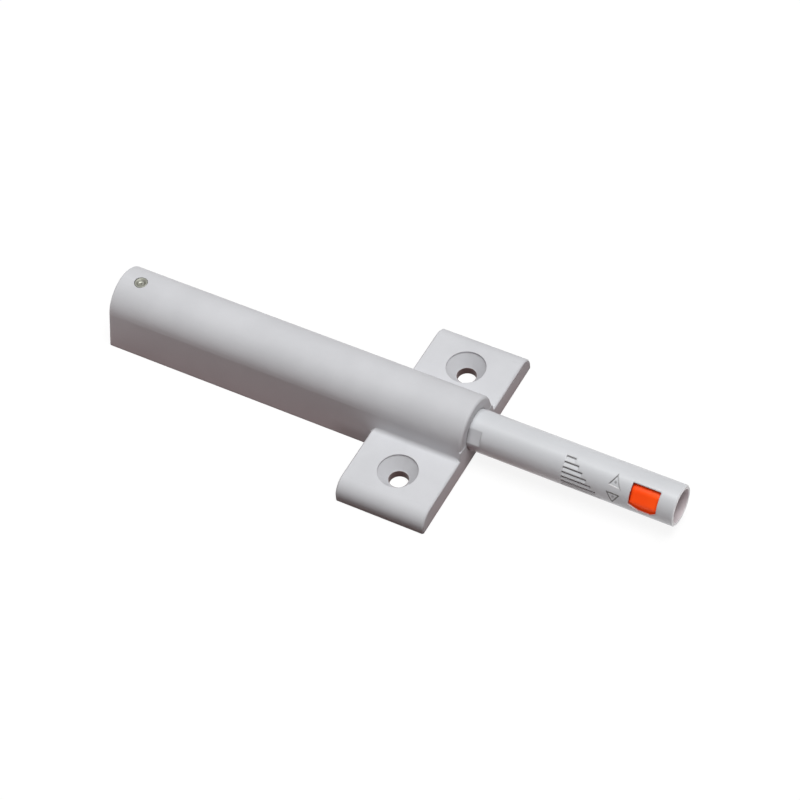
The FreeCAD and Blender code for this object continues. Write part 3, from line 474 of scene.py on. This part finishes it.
# Return spring and follower wire, round where the solids have six sides
SPRING_RADIUS, SPRING_WIRE = 2.45 * MM, 0.25 * MM
SPRING_TURNS = 12
SPRING_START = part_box("return_spring")[0][0] + SPRING_WIRE
SPRING_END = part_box("return_spring")[1][0] - SPRING_WIRE
# the radius of the follower's eye round the pin and of its wire, where its arm bends down and the bend's radius,
# and how low its finger reaches
EYE_RADIUS, FOLLOWER_WIRE = 1.5 * MM, 0.4 * MM
BEND_X, BEND_RADIUS = -31.8 * MM, 0.8 * MM
FINGER_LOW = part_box("follower_wire")[0][2]
# how far the eye runs round the pin
EYE_TURN = np.radians(300)
# how much of a wire's radius its rounded end adds, in how many rings
CAP, CAP_RINGS = 0.98, 6
# places round a wire, along a turn of the spring, and along each run of the follower
WIRE_SIDES, TURN_POINTS = 16, 48
EYE_POINTS, ARM_POINTS, BEND_POINTS, FINGER_POINTS = 60, 40, 12, 4


def wire(path, lift, radius):
    """A round wire: at each point of the path a circle in the plane square to it, radius times
    (cos a along the lift direction + sin a along path cross lift). At both ends the circle shrinks
    by the quarter circle sqrt(1 - s * s) as the end moves out by s radii."""
    tangent = np.gradient(path, axis=0)
    tangent /= np.linalg.norm(tangent, axis=1, keepdims=True)
    s = np.sin(np.linspace(0, np.pi / 2, CAP_RINGS + 1)[1:] * CAP)[:, None]
    centre = np.vstack([path[0] - tangent[0] * radius * s[::-1], path,
                        path[-1] + tangent[-1] * radius * s])
    along = np.vstack([np.repeat(tangent[:1], len(s), 0), tangent, np.repeat(tangent[-1:], len(s), 0)])
    up = np.vstack([np.repeat(lift[:1], len(s), 0), lift, np.repeat(lift[-1:], len(s), 0)])
    shrink = np.sqrt(1 - s * s)
    size = radius * np.vstack([shrink[::-1], np.ones((len(path), 1)), shrink])[:, None]
    a = np.linspace(0, 2 * np.pi, WIRE_SIDES, endpoint=False)[None, :, None]
    side = np.cross(along, up)
    return centre[:, None] + size * (np.cos(a) * up[:, None] + np.sin(a) * side[:, None])


def spring_path():
    """A helix about the plunger's axis: x runs evenly from end to end, and (y, z) is the coil radius
    times (-sin a, cos a) with a growing by a whole turn for each pitch."""
    t = np.linspace(0, 1, SPRING_TURNS * TURN_POINTS + 1)
    a = 2 * np.pi * SPRING_TURNS * t
    lift = np.stack([np.zeros_like(a), -np.sin(a), np.cos(a)], -1)
    path = lift * SPRING_RADIUS
    path[:, 0] = SPRING_START + (SPRING_END - SPRING_START) * t
    path[:, 2] += AXIS_Z
    return path, lift


def follower_path():
    """Three runs: the eye, pin + radius * (cos a, sin a) with a falling to a quarter turn; the straight
    arm along X; and the bend, a quarter circle down, then straight down the finger."""
    cap = CAP * FOLLOWER_WIRE
    a = np.linspace(np.pi / 2 + EYE_TURN - cap / EYE_RADIUS, np.pi / 2, EYE_POINTS)
    eye = np.stack([PIN_X + EYE_RADIUS * np.cos(a), EYE_RADIUS * np.sin(a), np.full_like(a, ARM_Z)], -1)
    x = np.linspace(PIN_X, BEND_X, ARM_POINTS)[1:-1]
    arm = np.stack([x, np.full_like(x, EYE_RADIUS), np.full_like(x, ARM_Z)], -1)
    b = np.linspace(0, np.pi / 2, BEND_POINTS)
    bend = np.stack([BEND_X + BEND_RADIUS * np.sin(b), np.full_like(b, EYE_RADIUS),
                     ARM_Z - BEND_RADIUS * (1 - np.cos(b))], -1)
    z = np.linspace(bend[-1, 2], FINGER_LOW + cap, FINGER_POINTS)[1:]
    finger = np.stack([np.full_like(z, bend[-1, 0]), np.full_like(z, EYE_RADIUS), z], -1)
    turn = np.concatenate([np.zeros(len(eye) + len(arm)), b, np.full(len(finger), np.pi / 2)])
    lift = np.stack([np.sin(turn), np.zeros_like(turn), np.cos(turn)], -1)
    return np.vstack([eye, arm, bend, finger]), lift


return_coil = add_piece("return_coil", [tube(wire(*spring_path(), SPRING_WIRE))], "barrel",
                        spring_metal)
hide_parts("return_spring")
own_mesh(return_coil)

latch_wire = add_piece("latch_wire", [tube(wire(*follower_path(), FOLLOWER_WIRE))], "follower",
                       spring_metal)
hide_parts("follower_wire")

# Rounded bottom of the hollow in the anchor pin's head
# the bowl's radius, how far its rim lies below the pin's face and its middle below the rim, then the
# radius of its foot inside the metal and how far that lies below the face
BOWL_RADIUS, BOWL_RIM, BOWL_DEPTH = 0.72 * MM, 0.34 * MM, 0.16 * MM
BOWL_SKIRT, BOWL_FOOT = 0.45 * MM, 0.75 * MM
# the drill's mark at its bottom: share of the bowl's radius, depth, and how far it lies off the middle
DIMPLE_SHARE, DIMPLE_DEPTH = 0.4, 0.2 * MM
DIMPLE_SHIFT = np.array([-0.24, 0.06]) * MM
# share of the radius at which the innermost ring of the bowl, and of its foot, lies
BOWL_START, FOOT_START = 0.03, 0.1
BOWL_RINGS, BOWL_SIDES = 24, 48


def pin_bowl():
    """A turned bowl: for s from 0 to 1 its surface lies at radius R * s and rim + depth * (1 - s * s)
    below the pin's face, with each ring's middle off by (1 - s) * shift. Within a share q of the radius it
    is deeper by dimple * (1 - (s / q) ** 2). Its underside runs in to a foot inside the pin's metal."""
    s = np.linspace(BOWL_START, 1, BOWL_RINGS)
    dimple = DIMPLE_DEPTH * np.clip(1 - (s / DIMPLE_SHARE) ** 2, 0, 1)
    radius = np.concatenate([BOWL_RADIUS * s, [BOWL_SKIRT, FOOT_START * BOWL_SKIRT]])
    drop = np.concatenate([BOWL_RIM + BOWL_DEPTH * (1 - s * s) + dimple, [BOWL_FOOT, BOWL_FOOT]])
    off = np.concatenate([1 - s, [0, 0]])[:, None]
    a = np.linspace(0, 2 * np.pi, BOWL_SIDES, endpoint=False)
    r, z = radius[:, None], PIN_FACE_Z - drop[:, None]
    x = PIN_X + r * np.cos(a) + off * DIMPLE_SHIFT[0]
    return np.stack([x, r * np.sin(a) + off * DIMPLE_SHIFT[1], z + 0 * a], -1)


add_piece("pin_bowl", [tube(pin_bowl())], "barrel", bowl_metal)

# Marks on the plunger's display side: two triangles, each with a dot
# corners as (x, across), and the tone of the line that starts at each: 1 a painted highlight, -1 painted shade
UP_MARK = np.array([(44.25, 0.98), (46.93, 0.74), (45.51, 3.19)]) * MM
UP_TONES = (1.0, -0.4, -0.75)
UP_DOT = (45.57 * MM, 1.87 * MM)
DOWN_MARK = np.array([(44.18, -0.75), (45.55, -3.02), (46.94, -0.83)]) * MM
DOWN_TONES = (-0.8, -0.8, -1.0)
DOWN_DOT = (45.66 * MM, -1.46 * MM)
MARK_WIDTH, MARK_RISE, MARK_SINK = 0.32 * MM, 0.05 * MM, 0.05 * MM
# share of the sink at which the edges of a mark or of a thread ridge lie below the skin
FOOT = 0.2
# the dot's radius, and the tone of its painted shade
DOT_RADIUS, DOT_TONE = 0.32 * MM, -0.45
# places along a side and over the line's width, then rings of the dot's dome, the share of its radius
# where they start, places round it, and the shares where the rings of its foot lie
LINE_POINTS, WIDTH_POINTS = 12, 7
DOME_RINGS, DOME_START, DOT_SIDES = 6, 0.05, 20
FOOT_RINGS = (0.6, DOME_START)


def on_skin(x, across, rise):
    """A place on the plunger's display side: with sin a = across / radius it is
    axis + (radius + rise) * (cos a * OUTWARD + sin a * ACROSS)."""
    sine = across / PLUNGER_RADIUS
    reach = PLUNGER_RADIUS + rise
    yz = (reach * np.sqrt(1 - sine ** 2))[..., None] * OUTWARD + (reach * sine)[..., None] * ACROSS
    return np.stack([x + 0 * rise, yz[..., 0], AXIS_Z + yz[..., 1]], -1)


def mark_line(corners):
    """A raised line along the sides of a triangle. Each section point lies s out from the triangle, at
    corner + s * (n + m) / (1 + n . m) with n and m the outward directions of the two sides that meet
    there, and straight between corners. The rise is a half wave over the line's width."""
    side = np.roll(corners, -1, 0) - corners
    side /= np.linalg.norm(side, axis=1, keepdims=True)
    outward = np.stack([side[:, 1], -side[:, 0]], -1)
    outward *= np.sign(((corners - corners.mean(0)) * outward).sum(1, keepdims=True))
    before = np.roll(outward, 1, 0)
    mitre = (outward + before) / (1 + (outward * before).sum(1, keepdims=True))
    share = np.linspace(0, 1, WIDTH_POINTS)
    under = share[-2:0:-1]
    out = (np.concatenate([share, under]) - 0.5) * MARK_WIDTH
    rise = np.concatenate([MARK_RISE * np.sin(np.pi * share) - FOOT * MARK_SINK,
                           np.full(len(under), -MARK_SINK)])
    ring = corners[None] + out[:, None, None] * mitre[None]
    t = np.arange(LINE_POINTS)[None, None, :, None] / LINE_POINTS
    flat = (ring[:, :, None] * (1 - t) + np.roll(ring, -1, 1)[:, :, None] * t).reshape(len(out), -1, 2)
    return on_skin(flat[..., 0], flat[..., 1], rise[:, None])


def mark_dot(place):
    """A low dome: rings of radius r about the place, rising by a quarter wave from its rim to its top,
    and closed by a flat foot below the skin."""
    share = np.concatenate([np.linspace(DOME_START, 1, DOME_RINGS), FOOT_RINGS])[:, None]
    dome = np.arange(len(share))[:, None] < DOME_RINGS
    rise = np.where(dome, MARK_RISE * np.cos(np.pi / 2 * share) - FOOT * MARK_SINK, -MARK_SINK)
    a = np.linspace(0, 2 * np.pi, DOT_SIDES, endpoint=False)
    r = share * DOT_RADIUS
    return on_skin(place[0] + r * np.cos(a), place[1] + r * np.sin(a), rise + 0 * a)


def add_mark(name, corners, tones, dot):
    """One triangle's lines and its dot, with the tone of their painted highlight and shade kept on the points."""
    line, dome = mark_line(corners), mark_dot(dot)
    skins = [hoop(line), tube(dome)]
    piece = add_piece(name, skins, "slider", mark_grey)
    line_tone = np.tile(np.repeat(tones, LINE_POINTS), len(line))
    tone = np.concatenate([line_tone, np.full(len(skins[1][0]), DOT_TONE)])
    piece.data.attributes.new("tone", "FLOAT", "POINT").data.foreach_set("value", tone.astype(np.float32))


add_mark("upper_triangle", UP_MARK, UP_TONES, UP_DOT)
add_mark("lower_triangle", DOWN_MARK, DOWN_TONES, DOWN_DOT)

# Screw thread of the tip holder, with its pitch from how far the adjuster turns as the tip slides
THREAD_PITCH = 2 * np.pi / frame["record"]["behaviour"]["couplings"][0]["ratio"]
THREAD_RADIUS, THREAD_RISE, THREAD_SINK = 2.9 * MM, 0.08 * MM, 0.1 * MM
THREAD_HALF_WIDTH = 0.32 * MM
# a ridge's section: how far each point leans along X, its share of the rise, and of the sink, and
# then the places along a ridge
RIDGE_LEAN = np.array([-1.0, -0.35, 0.35, 1.0, 0.0])
RIDGE_RISE = np.array([0, 1, 1, 0, 0])
RIDGE_SINK = np.array([FOOT, 0, 0, FOOT, 1.0])
RIDGE_POINTS = 28
THREAD_START, THREAD_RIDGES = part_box("tip_holder")[0][0] + 0.5 * MM, 7
# angle from the middle of a ridge to its end, short of the holder's flats, and the last part of it,
# over which the ridge goes down
THREAD_ARC, THREAD_TAPER = np.radians(53), 0.2


def thread_ridges():
    """Ridges over the two round sides, half a pitch apart: along the angle a from +Z or -Z a ridge lies
    at x = start + pitch * (number + a / full turn), its top at radius + rise, lower towards its ends."""
    a = np.linspace(-THREAD_ARC, THREAD_ARC, RIDGE_POINTS)[:, None]
    lean, depth = RIDGE_LEAN * THREAD_HALF_WIDTH, RIDGE_SINK * THREAD_SINK
    height = RIDGE_RISE * THREAD_RISE * np.clip((THREAD_ARC - np.abs(a)) / THREAD_TAPER, 0, 1)
    r = THREAD_RADIUS + height - depth
    ridges = []
    for half_turns in range(2 * THREAD_RIDGES):
        angle = a + np.pi * half_turns
        x = THREAD_START + THREAD_PITCH * angle / (2 * np.pi) + lean
        ridges.append(tube(np.stack([x, -r * np.sin(angle), AXIS_Z + r * np.cos(angle)], -1)))
    return ridges


add_piece("tip_thread", thread_ridges(), "tip", holder_grey)

# Studio
CAMERA_PLACE = Vector((211.23, -342.85, 506.62)) * MM
CAMERA_RIGHT = Vector((0.8799, 0.4711, -0.0626))
CAMERA_DOWN = Vector((0.3320, -0.7035, -0.6284))
FOCAL_PIXELS, FRAME_PIXELS, SENSOR = 2949.63, 800, 36.0
SEE_FROM, SEE_TO = 0.01, 20.0

camera_data = bpy.data.cameras.new("camera")
camera_data.sensor_width = SENSOR
camera_data.lens = FOCAL_PIXELS / FRAME_PIXELS * SENSOR
camera_data.clip_start, camera_data.clip_end = SEE_FROM, SEE_TO
camera = bpy.data.objects.new("camera", camera_data)
bpy.context.scene.collection.objects.link(camera)
right = CAMERA_RIGHT.normalized()
back = right.cross(-CAMERA_DOWN).normalized()
up = back.cross(right)
camera.matrix_world = Matrix.Translation(CAMERA_PLACE) @ Matrix((right, up, back)).transposed().to_4x4()
bpy.context.scene.camera = camera

# light on a level surface from the lamp and from the sky, as shares of full light
KEY_LEVEL, SKY_LEVEL = 0.95, 0.04
# the floor as the camera sees it: a glow near white, and the small part that a shadow can darken
FLOOR_SHADE, FLOOR_GLOW = 0.13, 0.89
# what the floor gives back to the object: brown by the barrel, little beyond it, and pale in a strip
# under the plunger and behind the rear end
FLOOR_BROWN, FLOOR_DARK = (0.13, 0.0, 0.0, 1.0), (0.02, 0.0, 0.0, 1.0)
FLOOR_PALE, FLOOR_BEHIND = (0.88, 0.87, 0.88, 1.0), (0.8, 0.74, 0.73, 1.0)
SKY_TINT = (1.0, 0.4, 0.25, 1.0)
KEY_TINT = (1.0, 1.02, 1.018)
# distances from the X axis between which brown turns dark and the strip ends, then places along X
# between which the strip and the pale part behind the rear end set in
BROWN_INNER, BROWN_OUTER = 18 * MM, 32 * MM
STRIP_INNER, STRIP_OUTER = 12 * MM, 40 * MM
PALE_START, PALE_FULL = 14 * MM, 50 * MM
BEHIND_START, BEHIND_FULL = REAR_X - 0.7 * MM, REAR_X - 11.7 * MM
KEY_FROM = Vector((0.15, 0.03, 1.0)).normalized()
KEY_SPREAD = np.radians(46)
WHITE = (1.0, 1.0, 1.0, 1.0)

key_data = bpy.data.lights.new("soft_key", "SUN")
key_data.energy = KEY_LEVEL * np.pi
key_data.angle = KEY_SPREAD
key_data.color = KEY_TINT
key = bpy.data.objects.new("soft_key", key_data)
key.rotation_mode = "QUATERNION"
key.rotation_quaternion = KEY_FROM.to_track_quat("Z", "Y")
key.location = KEY_FROM
bpy.context.scene.collection.objects.link(key)


def seen_rays(tree):
    """1 for rays from the camera, from gloss or through glass, 0 for the rest."""
    light = tree.add("ShaderNodeLightPath").outputs
    seen = tree.math("MAXIMUM", light["Is Camera Ray"], light["Is Glossy Ray"])
    return tree.math("MAXIMUM", seen, light["Is Transmission Ray"])


world = bpy.data.worlds.new("studio")
world.use_nodes = True
bpy.context.scene.world = world
sky = Tree(world.node_tree)
sky_seen = seen_rays(sky)
level = sky.ramp(sky_seen, 0.0, 1.0, SKY_LEVEL, 1.0)
sky_colour = sky.mix(sky_seen, SKY_TINT, WHITE)
sky_shader = sky.add("ShaderNodeBackground", {"Color": sky_colour, "Strength": level})
sky.feed(sky.add("ShaderNodeOutputWorld").inputs["Surface"], sky_shader.outputs[0])

FLOOR_REACH = 3.0
floor_mesh = bpy.data.meshes.new("floor")
floor_corners = FLOOR_REACH * np.array([(-1, -1, 0), (1, -1, 0), (1, 1, 0), (-1, 1, 0)])
floor_mesh.from_pydata(floor_corners, [], [(0, 1, 2, 3)])
floor = bpy.data.objects.new("floor", floor_mesh)
bpy.context.scene.collection.objects.link(floor)
floor_paper = bpy.data.materials.new("floor paper")
floor_paper.use_nodes = True
paper = Tree(floor_paper.node_tree)
seen = seen_rays(paper)
spot = paper.add("ShaderNodeTexCoord").outputs["Object"]
apart = paper.add("ShaderNodeSeparateXYZ", {"Vector": spot}).outputs
aside = paper.math("ABSOLUTE", apart["Y"])
strip = paper.math("MULTIPLY", paper.ramp(apart["X"], PALE_START, PALE_FULL),
                   paper.ramp(aside, STRIP_OUTER, STRIP_INNER))
tint = paper.mix(paper.ramp(aside, BROWN_INNER, BROWN_OUTER), FLOOR_BROWN, FLOOR_DARK)
tint = paper.mix(strip, tint, FLOOR_PALE)
tint = paper.mix(paper.ramp(apart["X"], BEHIND_START, BEHIND_FULL), tint, FLOOR_BEHIND)
bounce = paper.mix(seen, tint, (FLOOR_SHADE, FLOOR_SHADE, FLOOR_SHADE, 1.0))
shade = paper.add("ShaderNodeBsdfDiffuse", {"Color": bounce})
glow = paper.add("ShaderNodeEmission", {"Color": WHITE,
                                        "Strength": paper.math("MULTIPLY", seen, FLOOR_GLOW)})
both = paper.add("ShaderNodeAddShader", {0: shade.outputs[0], 1: glow.outputs[0]})
paper.feed(paper.add("ShaderNodeOutputMaterial").inputs["Surface"], both.outputs[0])
floor_mesh.materials.append(floor_paper)

bpy.context.scene.view_settings.view_transform = "Standard"
